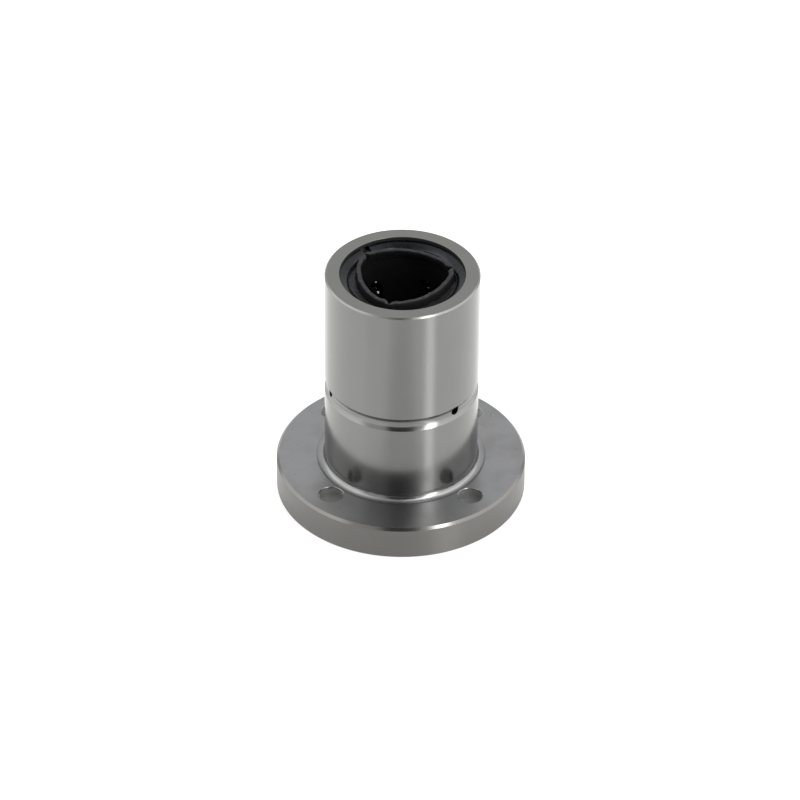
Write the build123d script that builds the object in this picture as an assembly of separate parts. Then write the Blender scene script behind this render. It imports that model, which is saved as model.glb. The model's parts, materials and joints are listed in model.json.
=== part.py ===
from build123d import *

import math
import os

# A flanged linear ball bushing for a 25 mm shaft, as an assembly of separate pieces.
#
# A hardened steel sleeve with a bolt flange carries six closed ball circuits. Each circuit lies in one flat
# plane that touches the pitch circle of the loaded balls. It has a loaded row, which bears on the shaft and
# on a ground land of the sleeve, a return row further out in a relief pocket, and a half-round turn at each
# end. One moulded cage guides all six. A rubber lip seal, bonded to a steel washer, and a snap ring close
# each end of the sleeve.
#
# Units are millimetres. The origin is the centre of the flange's base face, and +Z runs along the shaft
# towards the free end of the sleeve.

# Sleeve
SHAFT_R = 12.5
BODY_R = 20.0
LENGTH = 66.9
FLANGE_R = 32.6
FLANGE_T = 9.2
BOLT_CIRCLE_R = 25.5
BOLT_HOLE_R = 3.2
BOLT_COUNT = 4
BOLT_FIRST_DEG = 45.0

# Edges and turned details of the sleeve
FLANGE_TOP_CHAMFER = 0.65
FLANGE_BASE_CHAMFER = 0.3
NOSE_CHAMFER = 0.4
BORE_CHAMFER = 0.15
BOLT_HOLE_CHAMFER = 0.12
UNDERCUT_R = 1.5
UNDERCUT_DEPTH = 0.15
GREASE_GROOVE_Z = 33.1
GREASE_GROOVE_W = 3.8
GREASE_GROOVE_DEPTH = 0.7
GREASE_HOLE_R = 1.25
GREASE_HOLE_DEG = (-44.5, -161.5, 77.0)

# Inside of the sleeve
END_BORE_R = 16.1
POCKET_R = 17.2
POCKET_END_ROOM = 0.4
RACE_CLEARANCE = 0.02
LAND_HALF_DEG = 8.0
LAND_END_GAP = 1.0

# Ball circuits
CIRCUITS = 6
FIRST_CIRCUIT_DEG = -2.0
BALL_R = 1.75
TURN_R = 2.55
BALLS_IN_ROW = 10
BALLS_IN_TURN = 2

# Cage
CAGE_BORE_R = 12.7
CAGE_R = 15.9
TUNNEL_CLEARANCE = 0.1

# Snap rings, measured down from each end face
RING_DEPTH = 1.0
RING_T = 1.2
RING_IN_R = 13.85
RING_OUT_R = 16.95
RING_GROOVE_R = 17.1
RING_SIDE_PLAY = 0.05
RING_GAP_DEG = 9.0
RING_GAP_AT_DEG = 128.0

# Lip seals, and the steel washer bonded into each
SEAL_T = 1.95
SEAL_OUT_R = 16.0
SEAL_IN_R = 13.2
LIP_BORE_R = 12.56
LIP_OUT_R = 13.5
LIP_ROOT_R = 13.7
LIP_BEVEL = 0.4
LIP_LAND = 1.0
LIP_TIP_DEPTH = 0.4
WASHER_IN_R = 13.9
WASHER_OUT_R = 15.6
WASHER_T = 0.8

# Worked out from the above
MIDDLE_Z = LENGTH / 2
PITCH_R = SHAFT_R + BALL_R
BALL_PITCH = math.pi * TURN_R / BALLS_IN_TURN
ROW_LENGTH = BALLS_IN_ROW * BALL_PITCH
ROW_TOP = MIDDLE_Z + ROW_LENGTH / 2
ROW_BOTTOM = MIDDLE_Z - ROW_LENGTH / 2
RACE_R = PITCH_R + BALL_R + RACE_CLEARANCE
TUNNEL_R = BALL_R + TUNNEL_CLEARANCE
POCKET_TOP = ROW_TOP + TURN_R + TUNNEL_R + POCKET_END_ROOM
RING_TOP = LENGTH - RING_DEPTH
SEAL_TOP = RING_TOP - RING_T
CAGE_TOP = SEAL_TOP - SEAL_T
LIP_TOP = LENGTH - LIP_TIP_DEPTH


def circuit_deg(index):
    """Azimuth of a circuit's loaded row."""
    return FIRST_CIRCUIT_DEG + index * 360 / CIRCUITS


def polar(radius, degrees):
    """X and Y of a point on a circle about the axis."""
    angle = math.radians(degrees)
    return radius * math.cos(angle), radius * math.sin(angle)


def ring(inner, outer, bottom, top):
    """A plain tube between two heights."""
    with BuildPart() as made:
        with BuildSketch(Plane.XY.offset(bottom)):
            Circle(outer)
            Circle(inner, mode=Mode.SUBTRACT)
        extrude(amount=top - bottom)
    return made.part


def sector(inner, outer, from_deg, to_deg, bottom, top):
    """The part of a tube that lies between two azimuths."""
    middle = (from_deg + to_deg) / 2
    with BuildPart() as made:
        with BuildSketch(Plane.XY.offset(bottom)):
            with BuildLine():
                ThreePointArc(*[polar(outer, degrees) for degrees in (from_deg, middle, to_deg)])
                ThreePointArc(*[polar(inner, degrees) for degrees in (from_deg, middle, to_deg)])
                Line(polar(outer, from_deg), polar(inner, from_deg))
                Line(polar(outer, to_deg), polar(inner, to_deg))
            make_face()
        extrude(amount=top - bottom)
    return made.part


def turned(outline):
    """A solid of revolution from a closed outline of (radius, height) points."""
    with BuildPart() as made:
        with BuildSketch(Plane.XZ):
            with BuildLine():
                Polyline(*outline, close=True)
            make_face()
        revolve(axis=Axis.Z)
    return made.part


def at_bottom(piece):
    """The same piece at the flange end, facing the other way."""
    return piece.moved(Location((0, 0, LENGTH), (180, 0, 0)))


def sleeve_section():
    """Half section of the sleeve, in which the grease groove and the undercut are arcs."""
    undercut_z = FLANGE_T - UNDERCUT_DEPTH + UNDERCUT_R
    undercut_mid_r = BODY_R + UNDERCUT_R
    undercut_out_r = undercut_mid_r + math.sqrt(UNDERCUT_R**2 - (undercut_z - FLANGE_T) ** 2)
    groove_bottom = GREASE_GROOVE_Z - GREASE_GROOVE_W / 2
    groove_top = GREASE_GROOVE_Z + GREASE_GROOVE_W / 2
    upper_bore = [
        (END_BORE_R + BORE_CHAMFER, LENGTH),
        (END_BORE_R, LENGTH - BORE_CHAMFER),
        (END_BORE_R, RING_TOP + RING_SIDE_PLAY),
        (RING_GROOVE_R, RING_TOP + RING_SIDE_PLAY),
        (RING_GROOVE_R, SEAL_TOP - RING_SIDE_PLAY),
        (END_BORE_R, SEAL_TOP - RING_SIDE_PLAY),
        (END_BORE_R, POCKET_TOP),
        (POCKET_R, POCKET_TOP),
    ]
    lower_bore = [(radius, LENGTH - height) for radius, height in reversed(upper_bore)]
    with BuildSketch(Plane.XZ) as made:
        with BuildLine():
            Polyline(
                (END_BORE_R + BORE_CHAMFER, 0),
                (FLANGE_R - FLANGE_BASE_CHAMFER, 0),
                (FLANGE_R, FLANGE_BASE_CHAMFER),
                (FLANGE_R, FLANGE_T - FLANGE_TOP_CHAMFER),
                (FLANGE_R - FLANGE_TOP_CHAMFER, FLANGE_T),
                (undercut_out_r, FLANGE_T),
            )
            ThreePointArc(
                (undercut_out_r, FLANGE_T),
                (undercut_mid_r, FLANGE_T - UNDERCUT_DEPTH),
                (BODY_R, undercut_z),
            )
            Line((BODY_R, undercut_z), (BODY_R, groove_bottom))
            ThreePointArc(
                (BODY_R, groove_bottom),
                (BODY_R - GREASE_GROOVE_DEPTH, GREASE_GROOVE_Z),
                (BODY_R, groove_top),
            )
            Polyline(
                (BODY_R, groove_top),
                (BODY_R, LENGTH - NOSE_CHAMFER),
                (BODY_R - NOSE_CHAMFER, LENGTH),
                *upper_bore,
                *lower_bore,
            )
        make_face()
    return made.sketch


def raceway_land(index):
    """The ground land that one loaded row runs on, standing in from the wall of the pocket."""
    middle = circuit_deg(index)
    return sector(
        RACE_R,
        (POCKET_R + BODY_R) / 2,
        middle - LAND_HALF_DEG,
        middle + LAND_HALF_DEG,
        ROW_BOTTOM + LAND_END_GAP,
        ROW_TOP - LAND_END_GAP,
    )


def bolt_hole(index):
    """One plain bolt hole of the flange, with its two chamfered rims."""
    rim_r = BOLT_HOLE_R + BOLT_HOLE_CHAMFER
    hole = turned(
        [
            (0, 0),
            (rim_r, 0),
            (BOLT_HOLE_R, BOLT_HOLE_CHAMFER),
            (BOLT_HOLE_R, FLANGE_T - BOLT_HOLE_CHAMFER),
            (rim_r, FLANGE_T),
            (0, FLANGE_T),
        ]
    )
    return hole.moved(Location((*polar(BOLT_CIRCLE_R, BOLT_FIRST_DEG + index * 360 / BOLT_COUNT), 0)))


def grease_hole(degrees):
    """One radial hole from the grease groove into a pocket."""
    depth = BODY_R - POCKET_R + 1
    towards_axis = Location((POCKET_R + depth / 2 - 0.5, 0, MIDDLE_Z), (0, 90, 0))
    return Cylinder(GREASE_HOLE_R, depth).moved(Location((0, 0, 0), (0, 0, degrees)) * towards_axis)


def flanged_sleeve():
    """The steel sleeve: turned body, bolt flange, grease groove and holes, and six ground lands."""
    sleeve = revolve(sleeve_section(), axis=Axis.Z)
    for index in range(CIRCUITS):
        sleeve += raceway_land(index)
    for index in range(BOLT_COUNT):
        sleeve -= bolt_hole(index)
    for degrees in GREASE_HOLE_DEG:
        sleeve -= grease_hole(degrees)
    return sleeve


def in_circuit(shape, index):
    """Turns a shape from circuit 0 at azimuth zero to a circuit's own azimuth."""
    return shape.moved(Location((0, 0, 0), (0, 0, circuit_deg(index))))


def row_tunnel(across):
    """The straight tunnel of one row."""
    tunnel = Cylinder(TUNNEL_R, ROW_LENGTH)
    return tunnel.moved(Location((PITCH_R, across, MIDDLE_Z)))


def turn_tunnel(height, upward):
    """The half-round tunnel that joins the two rows at one end."""
    with BuildPart() as made:
        with BuildSketch(Plane((PITCH_R, 0, height), x_dir=(1, 0, 0), z_dir=(0, 0, 1))):
            Circle(TUNNEL_R)
        revolve(axis=Axis((PITCH_R, TURN_R, height), (-upward, 0, 0)), revolution_arc=180)
    return made.part


def circuit_tunnel(index):
    """The closed tunnel of one circuit: two rows and two turns."""
    rows = row_tunnel(0) + row_tunnel(2 * TURN_R)
    turns = turn_tunnel(ROW_TOP, 1) + turn_tunnel(ROW_BOTTOM, -1)
    return in_circuit(rows + turns, index)


def ball_cage():
    """The moulded cage, open to the shaft along the loaded rows and to the pockets along the return rows."""
    cage = ring(CAGE_BORE_R, CAGE_R, LENGTH - CAGE_TOP, CAGE_TOP)
    for index in range(CIRCUITS):
        cage -= circuit_tunnel(index)
    return cage


def lip_seal():
    """The free end's rubber seal, with its lip spread as far as the shaft spreads it."""
    return turned(
        [
            (WASHER_OUT_R, CAGE_TOP),
            (SEAL_OUT_R, CAGE_TOP),
            (SEAL_OUT_R, SEAL_TOP),
            (LIP_ROOT_R, SEAL_TOP),
            (LIP_OUT_R, LIP_TOP),
            (LIP_BORE_R + LIP_BEVEL, LIP_TOP),
            (LIP_BORE_R, LIP_TOP - LIP_BEVEL),
            (LIP_BORE_R, LIP_TOP - LIP_BEVEL - LIP_LAND),
            (SEAL_IN_R, SEAL_TOP - LIP_BEVEL),
            (SEAL_IN_R, CAGE_TOP),
            (WASHER_IN_R, CAGE_TOP),
            (WASHER_IN_R, CAGE_TOP + WASHER_T),
            (WASHER_OUT_R, CAGE_TOP + WASHER_T),
        ]
    )


def seal_washer():
    """The steel washer that stiffens the free end's seal."""
    return ring(WASHER_IN_R, WASHER_OUT_R, CAGE_TOP, CAGE_TOP + WASHER_T)


def snap_ring():
    """The free end's snap ring: flat and open, sprung into the groove of the sleeve."""
    start = RING_GAP_AT_DEG + RING_GAP_DEG / 2
    end = RING_GAP_AT_DEG - RING_GAP_DEG / 2 + 360
    return sector(RING_IN_R, RING_OUT_R, start, end, SEAL_TOP, RING_TOP)


def row_balls(across, index):
    """The balls of one straight row of a circuit, each ball its own solid."""
    heights = [ROW_BOTTOM + (place + 0.5) * BALL_PITCH for place in range(BALLS_IN_ROW)]
    balls = [Sphere(BALL_R).moved(Location((PITCH_R, across, height))) for height in heights]
    return Compound(children=[in_circuit(ball, index) for ball in balls])


def turn_balls(height, upward, index):
    """The balls of one turn of a circuit, each ball its own solid."""
    angles = [(place + 0.5) * math.pi / BALLS_IN_TURN for place in range(BALLS_IN_TURN)]
    places = [
        (PITCH_R, TURN_R * (1 - math.cos(angle)), height + upward * TURN_R * math.sin(angle))
        for angle in angles
    ]
    balls = [Sphere(BALL_R).moved(Location(place)) for place in places]
    return Compound(children=[in_circuit(ball, index) for ball in balls])


def main():
    """Builds every piece and writes one STEP file for each node."""
    nodes = {
        "flanged_sleeve": flanged_sleeve(),
        "ball_cage": ball_cage(),
    }
    for name, piece in (
        ("lip_seal", lip_seal()),
        ("seal_washer", seal_washer()),
        ("snap_ring", snap_ring()),
    ):
        nodes[f"{name}_top"] = piece
        nodes[f"{name}_bottom"] = at_bottom(piece)
    for index in range(CIRCUITS):
        number = index + 1
        nodes[f"loaded_balls_{number}"] = row_balls(0, index)
        nodes[f"return_balls_{number}"] = row_balls(2 * TURN_R, index)
        nodes[f"top_turn_balls_{number}"] = turn_balls(ROW_TOP, 1, index)
        nodes[f"bottom_turn_balls_{number}"] = turn_balls(ROW_BOTTOM, -1, index)
    os.makedirs("parts", exist_ok=True)
    for name, piece in nodes.items():
        export_step(piece, f"parts/{name}.step")


main()
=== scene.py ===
"""Looks of a flanged linear ball bushing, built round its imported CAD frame.

Lengths are in metres in the frame of the CAD part: +Z runs along the shaft from the flange to the free end,
and the base of the flange lies at z = 0. Heights, radii and places are read from the CAD nodes.
"""

import json
import logging
import math
from collections.abc import Callable, Sequence
from dataclasses import dataclass, field
from enum import Enum

import bmesh
import bpy
from mathutils import Euler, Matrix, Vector


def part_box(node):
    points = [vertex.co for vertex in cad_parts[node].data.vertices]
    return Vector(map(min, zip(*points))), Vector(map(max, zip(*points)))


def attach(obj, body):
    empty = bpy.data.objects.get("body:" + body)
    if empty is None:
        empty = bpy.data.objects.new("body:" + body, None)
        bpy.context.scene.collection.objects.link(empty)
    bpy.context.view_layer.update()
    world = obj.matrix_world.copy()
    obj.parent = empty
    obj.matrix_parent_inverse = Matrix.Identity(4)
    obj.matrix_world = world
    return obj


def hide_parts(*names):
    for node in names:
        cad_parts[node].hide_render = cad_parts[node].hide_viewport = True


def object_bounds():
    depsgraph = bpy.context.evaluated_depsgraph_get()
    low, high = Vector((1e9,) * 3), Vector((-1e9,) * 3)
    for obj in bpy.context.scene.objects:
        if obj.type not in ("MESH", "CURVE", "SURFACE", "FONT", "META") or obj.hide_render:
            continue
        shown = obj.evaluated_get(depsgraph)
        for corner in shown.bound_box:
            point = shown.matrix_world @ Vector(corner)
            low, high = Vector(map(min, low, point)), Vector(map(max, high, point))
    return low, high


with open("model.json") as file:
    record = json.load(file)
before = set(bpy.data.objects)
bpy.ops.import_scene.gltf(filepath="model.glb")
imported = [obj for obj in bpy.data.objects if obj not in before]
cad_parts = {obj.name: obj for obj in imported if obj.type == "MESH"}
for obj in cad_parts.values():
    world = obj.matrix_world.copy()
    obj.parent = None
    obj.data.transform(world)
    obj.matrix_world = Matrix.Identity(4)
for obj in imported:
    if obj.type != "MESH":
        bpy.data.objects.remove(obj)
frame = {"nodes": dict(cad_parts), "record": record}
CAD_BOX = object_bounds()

LOG = logging.getLogger("bushing")
MM = 0.001

Socket = bpy.types.NodeSocket
Value = Socket | float
Point = tuple[float, float, float]
Inputs = dict[str | int, object]


class End(Enum):
    """The two ends of the sleeve."""

    TOP = "top"
    BOTTOM = "bottom"


# ---------------------------------------------------------------- node helpers


class NodeSheet:
    """A node tree with short calls for the nodes that the finishes share."""

    def __init__(self, tree: bpy.types.NodeTree) -> None:
        """Wraps a tree.

        Args:
            tree: the node tree that nodes are added to.
        """
        self.tree = tree

    def add(self, kind: str, inputs: Inputs | None = None, **settings: object) -> bpy.types.Node:
        """Adds a node.

        Args:
            kind: the node's type name.
            inputs: values or sockets for its inputs, by name or number.
            **settings: the node's own properties.

        Returns:
            The new node.
        """
        node = self.tree.nodes.new(kind)
        for name, value in settings.items():
            setattr(node, name, value)
        for key, value in (inputs or {}).items():
            self.feed(node.inputs[key], value)
        return node

    def feed(self, socket: Socket, value: object) -> None:
        """Links a socket into an input, or sets the input's value.

        Args:
            socket: the input.
            value: an output socket, or a plain value.
        """
        if isinstance(value, bpy.types.NodeSocket):
            self.tree.links.new(value, socket)
        else:
            socket.default_value = value

    def math(self, operation: str, first: Value, second: Value = 0.0, third: Value = 0.0) -> Socket:
        """Adds a Math node.

        Args:
            operation: the operation's name.
            first: first input.
            second: second input.
            third: third input.

        Returns:
            The result's socket.
        """
        node = self.add("ShaderNodeMath", {0: first, 1: second, 2: third}, operation=operation)
        return node.outputs[0]

    def times(self, first: Value, second: Value) -> Socket:
        """Multiplies two numbers."""
        return self.math("MULTIPLY", first, second)

    def plus(self, first: Value, second: Value) -> Socket:
        """Adds two numbers."""
        return self.math("ADD", first, second)

    def rest_of(self, share: Value) -> Socket:
        """What is left of 1 beside a share."""
        return self.math("SUBTRACT", 1.0, share)

    def window(self, value: Value, low: float, high: float, soft: float) -> Socket:
        """A smooth bump: 1 between low and high, and 0 further out than soft beyond them.

        Args:
            value: what is tested.
            low: lower edge.
            high: upper edge.
            soft: width of the fade at each edge.

        Returns:
            The window's socket.
        """
        rise = self.ramp(value, low - soft, low)
        fall = self.ramp(value, high, high + soft, 1.0, 0.0)
        return self.times(rise, fall)

    def ramp(
        self, value: Value, low: float, high: float, at_low: float = 0.0, at_high: float = 1.0
    ) -> Socket:
        """A smooth change from one number to another.

        Args:
            value: what drives the change.
            low: where the change starts.
            high: where it ends.
            at_low: result up to low.
            at_high: result from high.

        Returns:
            The result's socket.
        """
        inputs = {"Value": value, 1: low, 2: high, 3: at_low, 4: at_high}
        return self.add("ShaderNodeMapRange", inputs, interpolation_type="SMOOTHSTEP").outputs[0]

    def vector(self, x: Value, y: Value, z: Value) -> Socket:
        """Joins three numbers into a vector."""
        return self.add("ShaderNodeCombineXYZ", {0: x, 1: y, 2: z}).outputs[0]

    def split(self, vector: Socket) -> tuple[Socket, Socket, Socket]:
        """Splits a vector into its three numbers."""
        x, y, z = self.add("ShaderNodeSeparateXYZ", {0: vector}).outputs
        return x, y, z

    def noise(self, vector: Socket, scale: float, detail: float = 3.0, roughness: float = 0.55) -> Socket:
        """Adds a Noise Texture.

        Args:
            vector: its coordinates.
            scale: cells per unit of the coordinates.
            detail: number of octaves.
            roughness: strength of the finer octaves.

        Returns:
            The noise value, 0 to 1.
        """
        inputs = {"Vector": vector, "Scale": scale, "Detail": detail, "Roughness": roughness}
        return self.add("ShaderNodeTexNoise", inputs).outputs[0]

    def blend(self, share: Value, first: object, second: object) -> Socket:
        """Mixes two colours.

        Args:
            share: share of the second colour.
            first: colour at share 0, as a socket or three numbers.
            second: colour at share 1, as a socket or three numbers.

        Returns:
            The mixed colour's socket.
        """
        node = self.add("ShaderNodeMix", data_type="RGBA")
        self.feed(node.inputs[0], share)
        for place, colour in ((6, first), (7, second)):
            self.feed(node.inputs[place], (*colour, 1) if isinstance(colour, tuple) else colour)
        return node.outputs[2]

    def bump(self, height: Socket, distance: float, normal: Socket | None = None) -> Socket:
        """Adds a Bump node.

        Args:
            height: surface height, 0 to 1.
            distance: what a height of 1 stands for, in metres.
            normal: the normal that it starts from.

        Returns:
            The new normal's socket.
        """
        inputs: Inputs = {"Height": height, "Distance": distance, "Strength": 1.0}
        if normal is not None:
            inputs["Normal"] = normal
        return self.add("ShaderNodeBump", inputs).outputs[0]


class Surface(NodeSheet):
    """A material with one Principled shader, and the object's own coordinates."""

    def __init__(self, name: str) -> None:
        """Makes the material.

        Args:
            name: its name.
        """
        self.material = bpy.data.materials.new(name)
        self.material.use_nodes = True
        super().__init__(self.material.node_tree)
        self.tree.nodes.clear()
        self.shader = self.add("ShaderNodeBsdfPrincipled")
        self.add("ShaderNodeOutputMaterial", {"Surface": self.shader.outputs[0]})
        self.place = self.add("ShaderNodeTexCoord").outputs["Object"]
        self.x, self.y, self.z = self.split(self.place)

    def set(self, **values: object) -> None:
        """Sets or links the shader's inputs.

        Args:
            **values: inputs by name, with underscores for spaces.
        """
        for name, value in values.items():
            self.feed(self.shader.inputs[name.replace("_", " ")], value)

    def radius(self) -> Socket:
        """Distance from the shaft axis."""
        return self.math("SQRT", self.plus(self.times(self.x, self.x), self.times(self.y, self.y)))

    def facing_up(self) -> Socket:
        """1 on faces across the axis, 0 on walls along it."""
        normal = self.add("ShaderNodeNewGeometry").outputs["Normal"]
        return self.ramp(self.math("ABSOLUTE", self.split(normal)[2]), 0.6, 0.8)

    def facing_in(self) -> Socket:
        """1 on walls that face the shaft axis, 0 on the others."""
        normal = self.add("ShaderNodeNewGeometry").outputs["Normal"]
        nx, ny, _ = self.split(normal)
        out = self.plus(self.times(nx, self.x), self.times(ny, self.y))
        return self.ramp(self.math("DIVIDE", out, self.radius()), -0.75, -0.45, 1.0, 0.0)

    def turning_lines(self, pitch: float, along: float) -> Socket:
        """Noise drawn out round the axis, as a grinding wheel or a lathe tool leaves it.

        Args:
            pitch: spacing of the lines.
            along: length of a line round the axis.

        Returns:
            The noise value, 0 to 1.
        """
        across = self.plus(self.z, self.radius())
        lines = self.vector(
            self.math("DIVIDE", self.x, along),
            self.math("DIVIDE", self.y, along),
            self.math("DIVIDE", across, pitch),
        )
        return self.noise(lines, 1.0, 4.0, 0.6)

    def face_lay(self, pitch: float, along: float, degrees: float) -> Socket:
        """Noise drawn out in one direction across a face, as a surface grinder leaves it.

        Args:
            pitch: spacing of the lines.
            along: length of a line.
            degrees: direction of the lines from +X.

        Returns:
            The noise value, 0 to 1.
        """
        cos, sin = math.cos(math.radians(degrees)), math.sin(math.radians(degrees))
        with_lines = self.plus(self.times(self.x, cos), self.times(self.y, sin))
        across = self.math("SUBTRACT", self.times(self.y, cos), self.times(self.x, sin))
        lines = self.vector(self.math("DIVIDE", with_lines, along), self.math("DIVIDE", across, pitch), 0.0)
        return self.noise(lines, 1.0, 4.0, 0.6)


# ---------------------------------------------------------------- finishes


@dataclass(frozen=True)
class SteelZones:
    """Where each finish of the sleeve lies, as sockets from 0 to 1."""

    face: Socket
    end: Socket
    rim: Socket
    edge: Socket
    hole: Socket
    mouth: Socket
    drilled: Socket


@dataclass(frozen=True)
class GroundSteel:
    """Hardened bearing steel: ground body, ground faces, turned rim, drilled bolt holes; painted light
    makes the faces and bolt-hole walls lighter, and painted shade darkens the rim, its chamfer and the
    bore.
    """

    body_colour: Point = (0.178, 0.179, 0.172)
    # painted light: lighter copies of the steel colour for the faces across the axis and for the top end
    # face
    lit_face_colour: Point = (0.262, 0.264, 0.270)
    lit_end_face_colour: Point = (0.194, 0.197, 0.185)
    # painted shade for the turned rim and the flange's outer chamfer
    painted_rim_shade: Point = (0.148, 0.145, 0.138)
    stain_colour: Point = (0.115, 0.110, 0.102)
    lay_colour: Point = (0.12, 0.12, 0.12)
    mark_colour: Point = (0.07, 0.07, 0.07)
    # painted shade for the mouth of the bore and for the bore's walls
    painted_mouth_shade: Point = (0.030, 0.030, 0.029)
    drilled_colour: Point = (0.24, 0.24, 0.235)
    # painted light for the bolt holes' lower walls and for their walls facing the shaft
    painted_lit_low_wall: Point = (0.42, 0.42, 0.41)
    painted_lit_outer_wall: Point = (0.70, 0.70, 0.69)
    painted_bore_shade: Point = (0.004, 0.004, 0.005)
    body_roughness: float = 0.19
    edge_roughness: float = 0.20
    face_roughness: float = 0.35
    rim_roughness: float = 0.42
    drilled_roughness: float = 0.75
    directional: float = 0.15
    line_pitch: float = 0.00012
    line_length: float = 0.006
    line_depth: float = 0.0000006
    stain_share: float = 0.22
    lay_share: float = 0.11

    def zones(self, s: Surface) -> SteelZones:
        """Finds each finish's place from the radius, the height and the way the surface faces.

        Args:
            s: the material's surface.

        Returns:
            The zones.
        """
        radius, face = s.radius(), s.facing_up()
        wall = s.rest_of(face)
        hole = s.times(s.ramp(radius, 18.9 * MM, 19.2 * MM, 1.0, 0.0), s.window(s.z, 4 * MM, 63 * MM, MM))
        bolt_circle = s.window(radius, 21.9 * MM, 29.2 * MM, 0.1 * MM)
        return SteelZones(
            face=face,
            end=s.times(face, s.ramp(s.z, 60 * MM, 62 * MM)),
            rim=s.times(s.ramp(radius, 32.2 * MM, 32.5 * MM), wall),
            edge=s.times(s.window(face, 0.35, 0.65, 0.1), s.ramp(radius, 31.7 * MM, 31.9 * MM)),
            hole=hole,
            mouth=s.times(s.ramp(radius, 16.18 * MM, 16.26 * MM, 1.0, 0.0), s.rest_of(hole)),
            drilled=s.times(s.times(bolt_circle, s.ramp(s.z, 8.7 * MM, 9.0 * MM, 1.0, 0.0)), wall),
        )

    def marks(self, s: Surface, zones: SteelZones) -> Socket:
        """Short scratches and small nicks on the flange, more of them near its rim.

        Args:
            s: the material's surface.
            zones: where the finishes lie.

        Returns:
            1 in a mark, 0 elsewhere.
        """
        radius = s.radius()
        scratch = s.ramp(s.face_lay(0.00018, 0.0035, -58.0), 0.70, 0.76, 0.0, 0.5)
        nick = s.ramp(s.noise(s.place, 1500.0, 2.0), 0.70, 0.75, 0.0, 0.7)
        nick = s.times(nick, s.ramp(radius, 26 * MM, 29 * MM))
        flange = s.times(zones.face, s.ramp(radius, 22 * MM, 23 * MM))
        return s.times(s.math("MAXIMUM", scratch, nick), flange)

    def bolt_hole_colour(self, s: Surface) -> Socket:
        """Colour of the bolt holes' walls, with painted light: lighter towards the bottom than near the
        top, and much lighter on the side facing the shaft.

        Args:
            s: the material's surface.

        Returns:
            The colour.
        """
        # painted light: the walls are lighter towards the bottom, next to the glowing table
        wall = s.blend(s.ramp(s.z, 4.5 * MM, 7.5 * MM), self.painted_lit_low_wall, self.drilled_colour)
        # painted light: the wall side facing the shaft is much lighter
        return s.blend(s.facing_in(), wall, self.painted_lit_outer_wall)

    def colour(self, s: Surface, zones: SteelZones, stain: Socket, lay: Socket) -> Socket:
        """Lays the colours over one another, from the ground steel to the painted shade inside the bore.

        Args:
            s: the material's surface.
            zones: where the finishes lie.
            stain: strength of the stain.
            lay: grinding lines of the flat faces.

        Returns:
            The colour.
        """
        stained = s.times(stain, s.ramp(zones.face, 0, 1, 0.35, 1.0))
        lined = s.times(zones.face, s.ramp(lay, 0.35, 0.75, 0.0, self.lay_share))
        # painted light: faces across the axis get a lighter copy of the steel colour than the walls
        colour = s.blend(zones.face, self.body_colour, self.lit_face_colour)
        for share, over in (
            # painted light: the top end face gets its own lighter copy of the steel colour
            (zones.end, self.lit_end_face_colour),
            # painted shade: the turned rim and the flange's outer chamfer are darkened
            (s.math("MAXIMUM", zones.rim, zones.edge), self.painted_rim_shade),
            (stained, self.stain_colour),
            (lined, self.lay_colour),
            (self.marks(s, zones), self.mark_colour),
            (zones.drilled, self.bolt_hole_colour(s)),
            # painted shade: the bore's steel walls are darkened almost to black
            (zones.hole, self.painted_bore_shade),
            # painted shade: the mouth of the bore, inside the end faces, is darkened
            (zones.mouth, self.painted_mouth_shade),
        ):
            colour = s.blend(share, colour, over)
        return colour

    def roughness(self, s: Surface, zones: SteelZones, stain: Socket, lines: Socket) -> Socket:
        """Roughness of each finish, with the small change that lines and stains make.

        Args:
            s: the material's surface.
            zones: where the finishes lie.
            stain: strength of the stain.
            lines: fine lines round the axis.

        Returns:
            The roughness.
        """
        rough = s.ramp(zones.face, 0, 1, self.body_roughness, self.face_roughness)
        rough = s.math("MAXIMUM", rough, s.times(zones.rim, self.rim_roughness))
        bored = s.math("MAXIMUM", zones.drilled, zones.mouth)
        rough = s.math("MAXIMUM", rough, s.times(bored, self.drilled_roughness))
        rough = s.plus(rough, s.ramp(lines, 0.2, 0.8, -0.02, 0.03))
        rough = s.plus(rough, s.times(zones.face, s.ramp(stain, 0.0, 0.3, -0.02, 0.06)))
        return s.plus(s.times(rough, s.rest_of(zones.edge)), s.times(zones.edge, self.edge_roughness))

    def make(self) -> bpy.types.Material:
        """Builds the material.

        Returns:
            The material.
        """
        s = Surface("ground_steel")
        zones = self.zones(s)
        lines = s.turning_lines(self.line_pitch, self.line_length)
        broad = s.turning_lines(self.line_pitch * 9, self.line_length * 3)
        lay = s.face_lay(0.0003, 0.014, 33.0)
        stain = s.ramp(s.noise(s.place, 150.0, 4.0, 0.5), 0.35, 0.75, 0.0, self.stain_share)
        stain = s.times(stain, s.rest_of(s.times(zones.end, 0.7)))
        normal = s.bump(broad, self.line_depth * 2.5)
        normal = s.bump(lines, self.line_depth, normal)
        normal = s.bump(s.times(lay, zones.face), self.line_depth, normal)
        s.set(Base_Color=self.colour(s, zones, stain, lay), Metallic=1.0, Normal=normal)
        s.set(Roughness=self.roughness(s, zones, stain, lines))
        s.set(Anisotropic=self.directional, Anisotropic_Rotation=0.25)
        s.set(Tangent=s.add("ShaderNodeTangent", direction_type="RADIAL", axis="Z").outputs[0])
        return s.material


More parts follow.
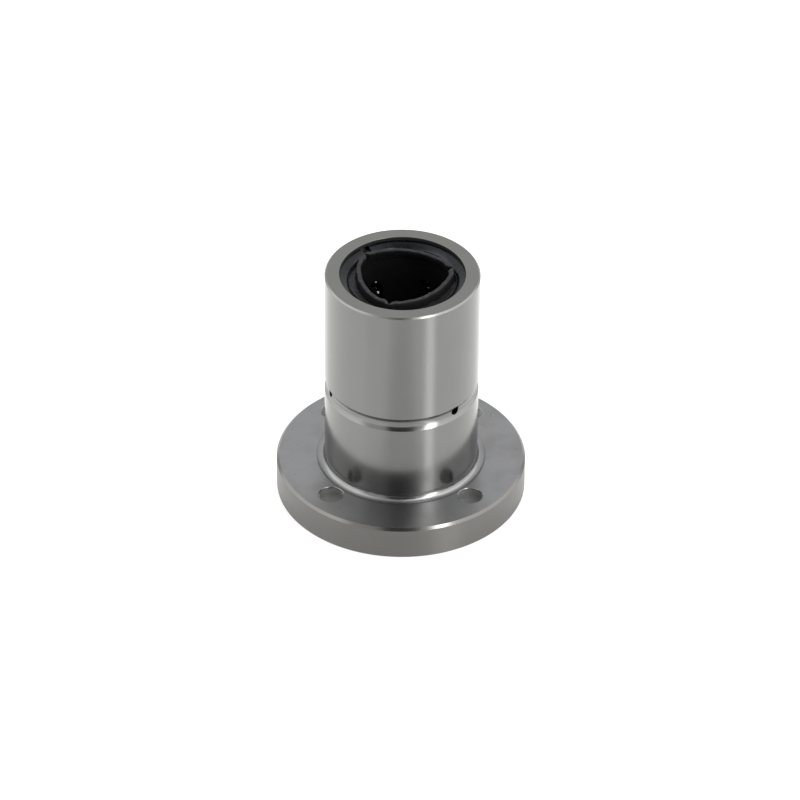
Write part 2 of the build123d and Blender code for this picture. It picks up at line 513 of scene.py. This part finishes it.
@dataclass(frozen=True)
class BluedSpringSteel:
    """Spring steel with a dark, faintly blue heat-treated skin."""

    colour: Point = (0.030, 0.032, 0.035)
    worn_colour: Point = (0.050, 0.053, 0.058)
    roughness: float = 0.20

    def make(self) -> bpy.types.Material:
        """Builds the material.

        Returns:
            The material.
        """
        s = Surface("blued_spring_steel")
        cloud = s.noise(s.place, 700.0, 4.0)
        lines = s.turning_lines(0.0002, 0.003)
        colour = s.blend(s.ramp(cloud, 0.45, 0.8, 0.0, 0.5), self.colour, self.worn_colour)
        s.set(Base_Color=colour, Metallic=1.0, Roughness=s.ramp(cloud, 0.2, 0.8, self.roughness, 0.30))
        s.set(Normal=s.bump(lines, 0.000002))
        s.set(Anisotropic=0.5, Anisotropic_Rotation=0.25)
        s.set(Tangent=s.add("ShaderNodeTangent", direction_type="RADIAL", axis="Z").outputs[0])
        return s.material


@dataclass(frozen=True)
class SealRubber:
    """Matt black nitrile rubber with a fine moulded grain and a little dust, with painted shade on its
    walls and darker painted shade on the walls facing the shaft.
    """

    colour: Point = (0.010, 0.010, 0.011)
    dusty_colour: Point = (0.020, 0.020, 0.021)
    roughness: float = 0.62
    # painted shade for the seal's walls and for the walls facing the shaft
    painted_flank_shade: Point = (0.0035, 0.0035, 0.0038)
    painted_inner_shade: Point = (0.0015, 0.0015, 0.0018)
    specular: float = 0.16

    def make(self) -> bpy.types.Material:
        """Builds the material.

        Returns:
            The material.
        """
        s = Surface("seal_rubber")
        grain = s.noise(s.place, 6000.0, 4.0)
        patch = s.noise(s.place, 900.0, 3.0)
        colour = s.blend(s.ramp(patch, 0.4, 0.75), self.colour, self.dusty_colour)
        # painted shade: walls that don't face along the axis are darkened
        colour = s.blend(s.facing_up(), self.painted_flank_shade, colour)
        # painted shade: walls facing the shaft are darkened almost to black
        colour = s.blend(s.facing_in(), colour, self.painted_inner_shade)
        s.set(Base_Color=colour, Specular_IOR_Level=self.specular)
        s.set(Roughness=s.ramp(patch, 0.2, 0.8, self.roughness, 0.8), Normal=s.bump(grain, 0.00003))
        return s.material


@dataclass(frozen=True)
class CagePlastic:
    """Moulded black plastic with a soft sheen from the lubricant, its colour darkened further as painted
    shade inside the bore.
    """

    colour: Point = (0.003, 0.003, 0.0035)
    greased_colour: Point = (0.006, 0.006, 0.006)
    roughness: float = 0.42

    def make(self) -> bpy.types.Material:
        """Builds the material.

        Returns:
            The material.
        """
        s = Surface("cage_plastic")
        flow = s.noise(s.place, 400.0, 3.0)
        grain = s.noise(s.place, 5000.0, 3.0)
        # black plastic, darkened further as painted shade inside the bore
        s.set(Base_Color=s.blend(flow, self.colour, self.greased_colour))
        s.set(Specular_IOR_Level=0.10)
        s.set(Roughness=s.ramp(flow, 0.3, 0.7, self.roughness, 0.5), Normal=s.bump(grain, 0.00002))
        return s.material


@dataclass(frozen=True)
class BallSteel:
    """Polished bearing balls, darkened almost to black as painted shade inside the bore, with darker
    patches.
    """

    # painted shade: polished steel darkened so that few glints show inside the bore
    colour: Point = (0.09, 0.09, 0.093)
    shaded_patch_colour: Point = (0.05, 0.05, 0.05)

    def make(self) -> bpy.types.Material:
        """Builds the material.

        Returns:
            The material.
        """
        s = Surface("ball_steel")
        film = s.noise(s.place, 1500.0, 3.0)
        # painted shade: the balls are darkened, with darker patches
        s.set(Base_Color=s.blend(film, self.colour, self.shaded_patch_colour), Metallic=1.0)
        s.set(Roughness=s.ramp(film, 0.3, 0.7, 0.06, 0.13), Normal=s.bump(film, 0.000003))
        return s.material


@dataclass(frozen=True)
class WasherSteel:
    """Stamped sheet steel, dull from the press."""

    colour: Point = (0.35, 0.35, 0.36)
    dull_colour: Point = (0.24, 0.24, 0.25)

    def make(self) -> bpy.types.Material:
        """Builds the material.

        Returns:
            The material.
        """
        s = Surface("washer_steel")
        cloud = s.noise(s.place, 800.0, 4.0)
        s.set(Base_Color=s.blend(cloud, self.colour, self.dull_colour), Metallic=1.0)
        s.set(Roughness=s.ramp(cloud, 0.3, 0.7, 0.34, 0.5), Normal=s.bump(cloud, 0.00001))
        return s.material


# ---------------------------------------------------------------- geometry helpers


def solid_from_rings(
    name: str, rings: Sequence[Sequence[Point]], material: bpy.types.Material
) -> bpy.types.Object:
    """Skins a closed loop of closed rings, as a tyre is skinned by its sections.

    Args:
        name: the new piece's name.
        rings: sections round the axis, each with the same number of points.
        material: its finish.

    Returns:
        The new piece, with outward normals and smooth shading.
    """
    count, size = len(rings), len(rings[0])
    points = [point for ring in rings for point in ring]
    faces = []
    for i in range(count):
        here, there = i * size, ((i + 1) % count) * size
        for k in range(size):
            after = (k + 1) % size
            faces.append((here + k, there + k, there + after, here + after))
    mesh = bpy.data.meshes.new(name)
    mesh.from_pydata(points, [], faces)
    work = bmesh.new()
    work.from_mesh(mesh)
    bmesh.ops.recalc_face_normals(work, faces=work.faces)
    work.to_mesh(mesh)
    work.free()
    mesh.polygons.foreach_set("use_smooth", [True] * len(mesh.polygons))
    mesh.set_sharp_from_angle(angle=math.radians(38))
    mesh.materials.append(material)
    piece = bpy.data.objects.new(name, mesh)
    bpy.context.scene.collection.objects.link(piece)
    return piece


class GeometryTree(NodeSheet):
    """A geometry node tree with named inputs, used once on a piece and then applied."""

    def __init__(self, name: str) -> None:
        """Starts an empty tree.

        Args:
            name: the tree's name.
        """
        super().__init__(bpy.data.node_groups.new(name, "GeometryNodeTree"))
        self.tree.interface.new_socket("Geometry", in_out="OUTPUT", socket_type="NodeSocketGeometry")
        self.group = self.add("NodeGroupInput")

    def input(self, name: str, kind: str = "Float") -> Socket:
        """Adds a named input to the tree.

        Args:
            name: the input's name.
            kind: Float, Int, Vector or Material.

        Returns:
            The socket that gives its value inside the tree.
        """
        self.tree.interface.new_socket(name, in_out="INPUT", socket_type=f"NodeSocket{kind}")
        return self.group.outputs[name]

    def close(self, geometry: Socket, material: Socket) -> None:
        """Ends the tree with smooth, real geometry that wears the material.

        Args:
            geometry: what the tree has made.
            material: the material input's socket.
        """
        real = self.add("GeometryNodeRealizeInstances", {0: geometry}).outputs[0]
        smooth = self.add("GeometryNodeSetShadeSmooth", {0: real}).outputs[0]
        dressed = self.add("GeometryNodeSetMaterial", {0: smooth, "Material": material}).outputs[0]
        self.add("NodeGroupOutput", {0: dressed})

    def grow(self, name: str, values: dict[str, object]) -> bpy.types.Object:
        """Runs the tree with these inputs.

        Args:
            name: the new piece's name.
            values: the tree's inputs, by name.

        Returns:
            A piece with a plain mesh and no modifier.
        """
        host = bpy.data.objects.new(name + "_host", bpy.data.meshes.new(name + "_host"))
        bpy.context.scene.collection.objects.link(host)
        modifier = host.modifiers.new("tree", "NODES")
        modifier.node_group = self.tree
        for item in self.tree.interface.items_tree:
            if item.in_out == "INPUT" and item.name in values:
                modifier[item.identifier] = values[item.name]
        view = bpy.context.evaluated_depsgraph_get()
        mesh = bpy.data.meshes.new_from_object(host.evaluated_get(view), depsgraph=view)
        mesh.name = name
        bpy.data.objects.remove(host)
        piece = bpy.data.objects.new(name, mesh)
        bpy.context.scene.collection.objects.link(piece)
        return piece


# ---------------------------------------------------------------- sub-assemblies


@dataclass
class Sleeve:
    """The ground steel sleeve with its flange, which keeps its CAD shape."""

    finish: GroundSteel = field(default_factory=GroundSteel)

    def dress(self) -> None:
        """Gives the sleeve its finish."""
        dress_node("flanged_sleeve", self.finish.make())


@dataclass
class Cage:
    """The moulded ball cage, which keeps its CAD shape."""

    finish: CagePlastic = field(default_factory=CagePlastic)

    def dress(self) -> None:
        """Gives the cage its finish."""
        dress_node("ball_cage", self.finish.make())


@dataclass
class BallCircuits:
    """The balls of every circuit, each a whole polished ball."""

    finish: BallSteel = field(default_factory=BallSteel)
    in_row: int = 10
    in_turn: int = 2
    segments: int = 16
    rings: int = 9

    def tree(self) -> GeometryTree:
        """Builds the tree that sets balls out along a straight or a half-round stretch.

        Returns:
            The tree.
        """
        g = GeometryTree("ball_row")
        count = g.input("Count", "Int")
        radius = g.input("Ball Radius")
        start = g.input("Start", "Vector")
        step = g.input("Step", "Vector")
        material = g.input("Material", "Material")
        line = g.add("GeometryNodeMeshLine", {"Count": count, "Start Location": start, "Offset": step})
        size = {"Segments": self.segments, "Rings": self.rings, "Radius": radius}
        ball = g.add("GeometryNodeMeshUVSphere", size)
        along = {"Points": line.outputs[0], "Instance": ball.outputs[0]}
        placed = g.add("GeometryNodeInstanceOnPoints", along)
        g.close(placed.outputs[0], material)
        return g

    def build(self) -> list[bpy.types.Object]:
        """Makes one piece for each CAD ball node, and puts it in that node's place.

        Returns:
            The pieces.
        """
        tree, material = self.tree(), self.finish.make()
        made = []
        for body, nodes in frame["record"]["behaviour"]["bodies"].items():
            for node in nodes:
                if "_balls_" not in node:
                    continue
                first, last = ball_centres(node)
                count = self.in_turn if "_turn_" in node else self.in_row
                values = {
                    "Count": count,
                    "Ball Radius": ball_radius(),
                    "Start": first,
                    "Step": (last - first) / (count - 1),
                    "Material": material,
                }
                piece = tree.grow(node + "_polished", values)
                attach(piece, body)
                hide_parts(node)
                made.append(piece)
        return made


@dataclass
class LipSeal:
    """A rubber seal whose lip, with no shaft in it, closes to a three-cornered opening."""

    end: End
    side_r: float = 10.4 * MM
    corner_r: float = 12.6 * MM
    lip_t: float = 1.25 * MM
    lip_limit_r: float = 13.68 * MM
    corners_deg: tuple[float, float, float] = (15.0, 136.6, 254.9)
    notch_half_deg: float = 2.6
    notch_depth: float = 0.75 * MM
    shoulder_deg: float = 7.0
    shoulder_t: float = 0.42 * MM
    washer_in_r: float = 13.9 * MM
    washer_out_r: float = 15.6 * MM
    washer_t: float = 0.8 * MM
    throat_r: float = 13.2 * MM
    groove_r: float = 13.74 * MM
    steps: int = 540

    def side_radius(self, share: float) -> float:
        """Inner radius of the lip along one of its three gently bowed sides.

        Args:
            share: place along the side, from -1 at one corner to 1 at the next.

        Returns:
            The radius.
        """
        half = self.corner_r * math.sin(math.radians(60))
        rise = self.side_r - self.corner_r * math.cos(math.radians(60))
        bow = (half * half + rise * rise) / (2 * rise)
        centre = self.side_r - bow
        angle = math.radians(60 * share)
        return centre * math.cos(angle) + math.sqrt(bow * bow - (centre * math.sin(angle)) ** 2)

    def opening(self, degrees: float) -> tuple[float, float]:
        """Inner radius and thickness of the lip's edge.

        Args:
            degrees: azimuth.

        Returns:
            The radius and the thickness.
        """
        corners = [corner + full_turn for corner in self.corners_deg for full_turn in (-360, 0, 360)]
        low = max(corner for corner in corners if corner <= degrees)
        high = min(corner for corner in corners if corner > degrees)
        share = 2 * (degrees - low) / (high - low) - 1
        radius = self.side_radius(share)
        away = min(degrees - low, high - degrees)
        notch = self.notch_depth * max(0.0, 1 - away / self.notch_half_deg)
        shoulder = self.shoulder_t * math.exp(-(((away - self.shoulder_deg) / 3.2) ** 2))
        turn = math.radians(degrees)
        wobble = 0.07 * math.sin(5 * turn + 0.6) + 0.05 * math.sin(11 * turn + 2.0)
        wobble += 0.035 * math.sin(23 * turn)
        radius += notch - shoulder + wobble * MM
        thick = self.lip_t + 0.6 * shoulder - 0.8 * notch + 0.05 * MM * math.sin(17 * turn + 1.0)
        return radius, min(thick, self.lip_limit_r - radius)

    def section(self, degrees: float) -> list[tuple[float, float]]:
        """Cross-section of the seal at an azimuth, as (radius, height).

        Args:
            degrees: azimuth.

        Returns:
            The closed outline's points.
        """
        low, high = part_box(f"lip_seal_{End.TOP.value}")
        floor, tip = low.z, high.z
        outer_r = high.x
        ring_low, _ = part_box("snap_ring_top")
        top = ring_low.z
        edge, thick = self.opening(degrees)
        foot = min(edge + thick + 0.25 * MM, 13.72 * MM)
        return [
            (self.washer_in_r, floor),
            (self.washer_in_r, floor + self.washer_t),
            (self.washer_out_r, floor + self.washer_t),
            (self.washer_out_r, floor),
            (outer_r, floor),
            (outer_r, top),
            (13.82 * MM, top),
            (13.76 * MM, top - 0.1 * MM),
            (self.groove_r, top - 0.45 * MM),
            ((foot + self.groove_r) / 2, top - 0.6 * MM),
            (foot, top - 0.45 * MM),
            (edge + thick, tip - 0.7 * MM),
            (edge + thick - 0.04 * MM, tip - 0.22 * MM),
            (edge + thick - 0.14 * MM, tip - 0.06 * MM),
            (edge + thick - 0.34 * MM, tip),
            (edge + 0.3 * MM, tip),
            (edge + 0.1 * MM, tip - 0.06 * MM),
            (edge, tip - 0.2 * MM),
            (edge + 0.03 * MM, tip - 0.7 * MM),
            (edge * 0.6 + self.throat_r * 0.4, tip - 1.9 * MM),
            (self.throat_r, floor + 0.5 * MM),
            (self.throat_r, floor),
        ]

    def build(self, material: bpy.types.Material) -> bpy.types.Object:
        """Makes the seal and puts it in the CAD seal's place.

        Args:
            material: the rubber.

        Returns:
            The seal.
        """
        flip = self.end is End.BOTTOM
        length = CAD_BOX[1].z - CAD_BOX[0].z
        rings = []
        for index in range(self.steps):
            degrees = 360 * index / self.steps
            turn = math.radians(degrees)
            ring = [(r * math.cos(turn), r * math.sin(turn), z) for r, z in self.section(degrees)]
            rings.append([(x, -y, length - z) for x, y, z in ring] if flip else ring)
        seal = solid_from_rings(f"rubber_seal_{self.end.value}", rings, material)
        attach(seal, "sleeve")
        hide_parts(f"lip_seal_{self.end.value}")
        return seal


@dataclass
class SnapRing:
    """The split retaining ring in the mouth of the sleeve, dished and with rounded edges."""

    end: End
    inner_r: float = 13.85 * MM
    gap_deg: float = 9.0
    gap_at_deg: float = 128.0
    dish_deg: float = 20.0
    thickness: float = 0.5 * MM
    arc_steps: int = 180
    section_steps: int = 24

    def tree(self) -> GeometryTree:
        """Builds the tree that sweeps the rounded section along the split ring.

        Returns:
            The tree.
        """
        g = GeometryTree("split_ring")
        radius = g.input("Ring Radius")
        start = g.input("Start Angle")
        sweep = g.input("Sweep Angle")
        section = g.input("Section Size", "Vector")
        dish = g.input("Dish Rotation", "Vector")
        place = g.input("Place", "Vector")
        material = g.input("Material", "Material")
        arc = g.add(
            "GeometryNodeCurveArc",
            {"Resolution": self.arc_steps, "Radius": radius, "Start Angle": start, "Sweep Angle": sweep},
        )
        round_section = {"Resolution": self.section_steps, "Radius": 1.0}
        circle = g.add("GeometryNodeCurvePrimitiveCircle", round_section)
        flat = g.add("GeometryNodeTransform", {0: circle.outputs[0], "Scale": section})
        profile = g.add("GeometryNodeTransform", {0: flat.outputs[0], "Rotation": dish})
        curves = {0: arc.outputs[0], 1: profile.outputs[0], "Fill Caps": True}
        swept = g.add("GeometryNodeCurveToMesh", curves)
        moved = g.add("GeometryNodeTransform", {0: swept.outputs[0], "Translation": place})
        g.close(moved.outputs[0], material)
        return g

    def build(self, material: bpy.types.Material) -> bpy.types.Object:
        """Makes the ring and puts it in the CAD ring's place.

        Args:
            material: its finish.

        Returns:
            The ring.
        """
        node = f"snap_ring_{self.end.value}"
        low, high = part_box(node)
        side = -1 if self.end is End.BOTTOM else 1
        half_gap = self.gap_deg / 2
        start = self.gap_at_deg + half_gap if side > 0 else -self.gap_at_deg + half_gap
        values = {
            "Ring Radius": (self.inner_r + high.x) / 2,
            "Start Angle": math.radians(start),
            "Sweep Angle": math.radians(360 - self.gap_deg),
            "Section Size": ((high.x - self.inner_r) / 2, self.thickness / 2, 1.0),
            "Dish Rotation": (0.0, 0.0, -side * math.radians(self.dish_deg)),
            "Place": (0.0, 0.0, (low.z + high.z) / 2),
            "Material": material,
        }
        ring = self.tree().grow(f"split_ring_{self.end.value}", values)
        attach(ring, "sleeve")
        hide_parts(node)
        return ring


def dress_node(node: str, material: bpy.types.Material) -> None:
    """Puts a finish on a CAD node.

    Args:
        node: the node's name.
        material: its finish.
    """
    for slot in frame["nodes"][node].material_slots:
        slot.material = material


def ball_centres(node: str) -> list[Vector]:
    """Finds the first and last ball of a CAD ball node from its box.

    Args:
        node: the node's name.

    Returns:
        The two centres. In a row they lie along the axis, and in a turn they lie across it.
    """
    radius = ball_radius()
    low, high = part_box(node)
    middle = (low + high) / 2
    reach = (high - low) / 2 - Vector((radius, radius, radius))
    if reach.z > radius:
        return [middle - Vector((0, 0, reach.z)), middle + Vector((0, 0, reach.z))]
    reach.x = math.copysign(reach.x, -middle.y)
    reach.y = math.copysign(reach.y, middle.x)
    reach.z = 0.0
    return [middle - reach, middle + reach]


def ball_radius() -> float:
    """Radius of a ball, from the width of a straight row's box."""
    low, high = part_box("loaded_balls_1")
    return (high.x - low.x) / 2


# ---------------------------------------------------------------- studio


@dataclass
class Studio:
    """A white tent on a pale table lit from below, open round the camera, with a strip lamp in its wall."""

    distance: float = 1.3364
    elevation_deg: float = 36.655
    roll_deg: float = 0.499
    lens_mm: float = 231.08
    aim: Point = (-0.000374, 0.000245, 0.026329)
    tent: float = 0.95
    opening: float = 0.13
    side_walls: float = 1.25
    strip_lamp: float = 12.0
    back_lamp_watts: float = 42.0
    back_lamp_deg: float = 33.0
    back_lamp_size: float = 0.34
    back_lamp_distance: float = 1.2
    table_half: float = 2.0
    table_drop: float = 0.00002
    table_colour: Point = (0.22, 0.22, 0.22)
    table_glow: float = 0.80

    def table(self) -> None:
        """Lays the pale table top, of back-lit milky glass, under the flange."""
        side, height = self.table_half, CAD_BOX[0].z - self.table_drop
        mesh = bpy.data.meshes.new("table_top")
        corners = [(-side, -side), (side, -side), (side, side), (-side, side)]
        mesh.from_pydata([(x, y, height) for x, y in corners], [], [(0, 1, 2, 3)])
        s = Surface("table_top")
        s.set(Base_Color=(*self.table_colour, 1), Roughness=0.15, Specular_IOR_Level=0.9)
        s.set(Emission_Color=(1, 1, 1, 1), Emission_Strength=self.table_glow)
        mesh.materials.append(s.material)
        table = bpy.data.objects.new("table_top", mesh)
        bpy.context.scene.collection.objects.link(table)

    def light(self) -> None:
        """Lights the tent: white all round, dark round the camera, brighter at the soft lamps."""
        world = bpy.data.worlds.new("tent")
        world.use_nodes = True
        bpy.context.scene.world = world
        s = NodeSheet(world.node_tree)
        s.tree.nodes.clear()
        x, y, z = s.split(s.add("ShaderNodeTexCoord").outputs["Generated"])
        azimuth = s.times(s.math("ARCTAN2", x, s.times(y, -1.0)), 180 / math.pi)
        height = s.times(s.math("ARCSINE", z), 180 / math.pi)
        away = s.math("ABSOLUTE", azimuth)
        hole = s.times(s.window(azimuth, -16, 16, 8), s.ramp(height, 74, 84, 1.0, 0.0))
        strip = s.times(s.window(azimuth, 38, 47, 4), s.window(height, 2, 66, 8))
        walls = s.times(s.window(away, 60, 120, 12), s.window(height, 4, 58, 8))
        level = s.times(s.ramp(height, 62, 80, 1.0, 0.12), self.tent)
        level = s.math("MULTIPLY_ADD", strip, self.strip_lamp, level)
        level = s.math("MULTIPLY_ADD", walls, self.side_walls, level)
        level = s.plus(s.times(level, s.rest_of(hole)), self.opening)
        glow = s.add("ShaderNodeBackground", {"Color": (1, 1, 1, 1), "Strength": level})
        s.add("ShaderNodeOutputWorld", {"Surface": glow.outputs[0]})

    def back_light(self) -> None:
        """Hangs a soft lamp behind the sleeve that lights the table and isn't mirrored in the steel."""
        data = bpy.data.lights.new("back_lamp", "AREA")
        data.shape = "DISK"
        data.size = self.back_lamp_size
        data.energy = self.back_lamp_watts
        lamp = bpy.data.objects.new("back_lamp", data)
        rise = math.radians(self.back_lamp_deg)
        lamp.location = Vector((0.0, math.cos(rise), math.sin(rise))) * self.back_lamp_distance
        lamp.rotation_euler = (Vector((0, 0, 0.02)) - lamp.location).to_track_quat("-Z", "Y").to_euler()
        lamp.visible_glossy = False
        bpy.context.scene.collection.objects.link(lamp)

    def camera(self) -> None:
        """Sets the camera up at the front, looking down at the sleeve."""
        tilt = math.radians(self.elevation_deg)
        data = bpy.data.cameras.new("camera")
        data.lens = self.lens_mm
        data.sensor_width = 36.0
        camera = bpy.data.objects.new("camera", data)
        back = Vector((0.0, -math.cos(tilt), math.sin(tilt)))
        camera.location = Vector(self.aim) + back * self.distance
        tilted = Euler((math.pi / 2 - tilt, 0.0, 0.0)).to_matrix()
        rolled = Euler((0.0, 0.0, math.radians(self.roll_deg))).to_matrix()
        camera.rotation_euler = (tilted @ rolled).to_euler()
        bpy.context.scene.collection.objects.link(camera)
        bpy.context.scene.camera = camera

    def build(self) -> None:
        """Sets up the table, the light and the camera."""
        self.table()
        self.light()
        self.back_light()
        self.camera()
        view = bpy.context.scene.view_settings
        view.view_transform = "Standard"
        view.look = "None"


def report(step: Callable[[], object], name: str) -> None:
    """Builds one sub-assembly and logs it.

    Args:
        step: what builds it.
        name: what the log calls it.
    """
    made = step()
    LOG.info("%s: %s", name, f"{len(made)} pieces" if isinstance(made, list) else "done")


def main() -> None:
    """Builds every sub-assembly in order."""
    logging.basicConfig(level=logging.INFO, format="%(name)s %(message)s")
    rubber = SealRubber().make()
    report(Sleeve().dress, "sleeve")
    report(Cage().dress, "cage")
    report(BallCircuits().build, "ball circuits")
    for end in End:
        report(lambda end=end: LipSeal(end).build(rubber), f"{end.value} seal")
    spring, washer = BluedSpringSteel().make(), WasherSteel().make()
    for end in End:
        report(lambda end=end: SnapRing(end).build(spring), f"{end.value} snap ring")
        dress_node(f"seal_washer_{end.value}", washer)
    report(Studio().build, "studio")


if __name__ == "__main__":
    main()
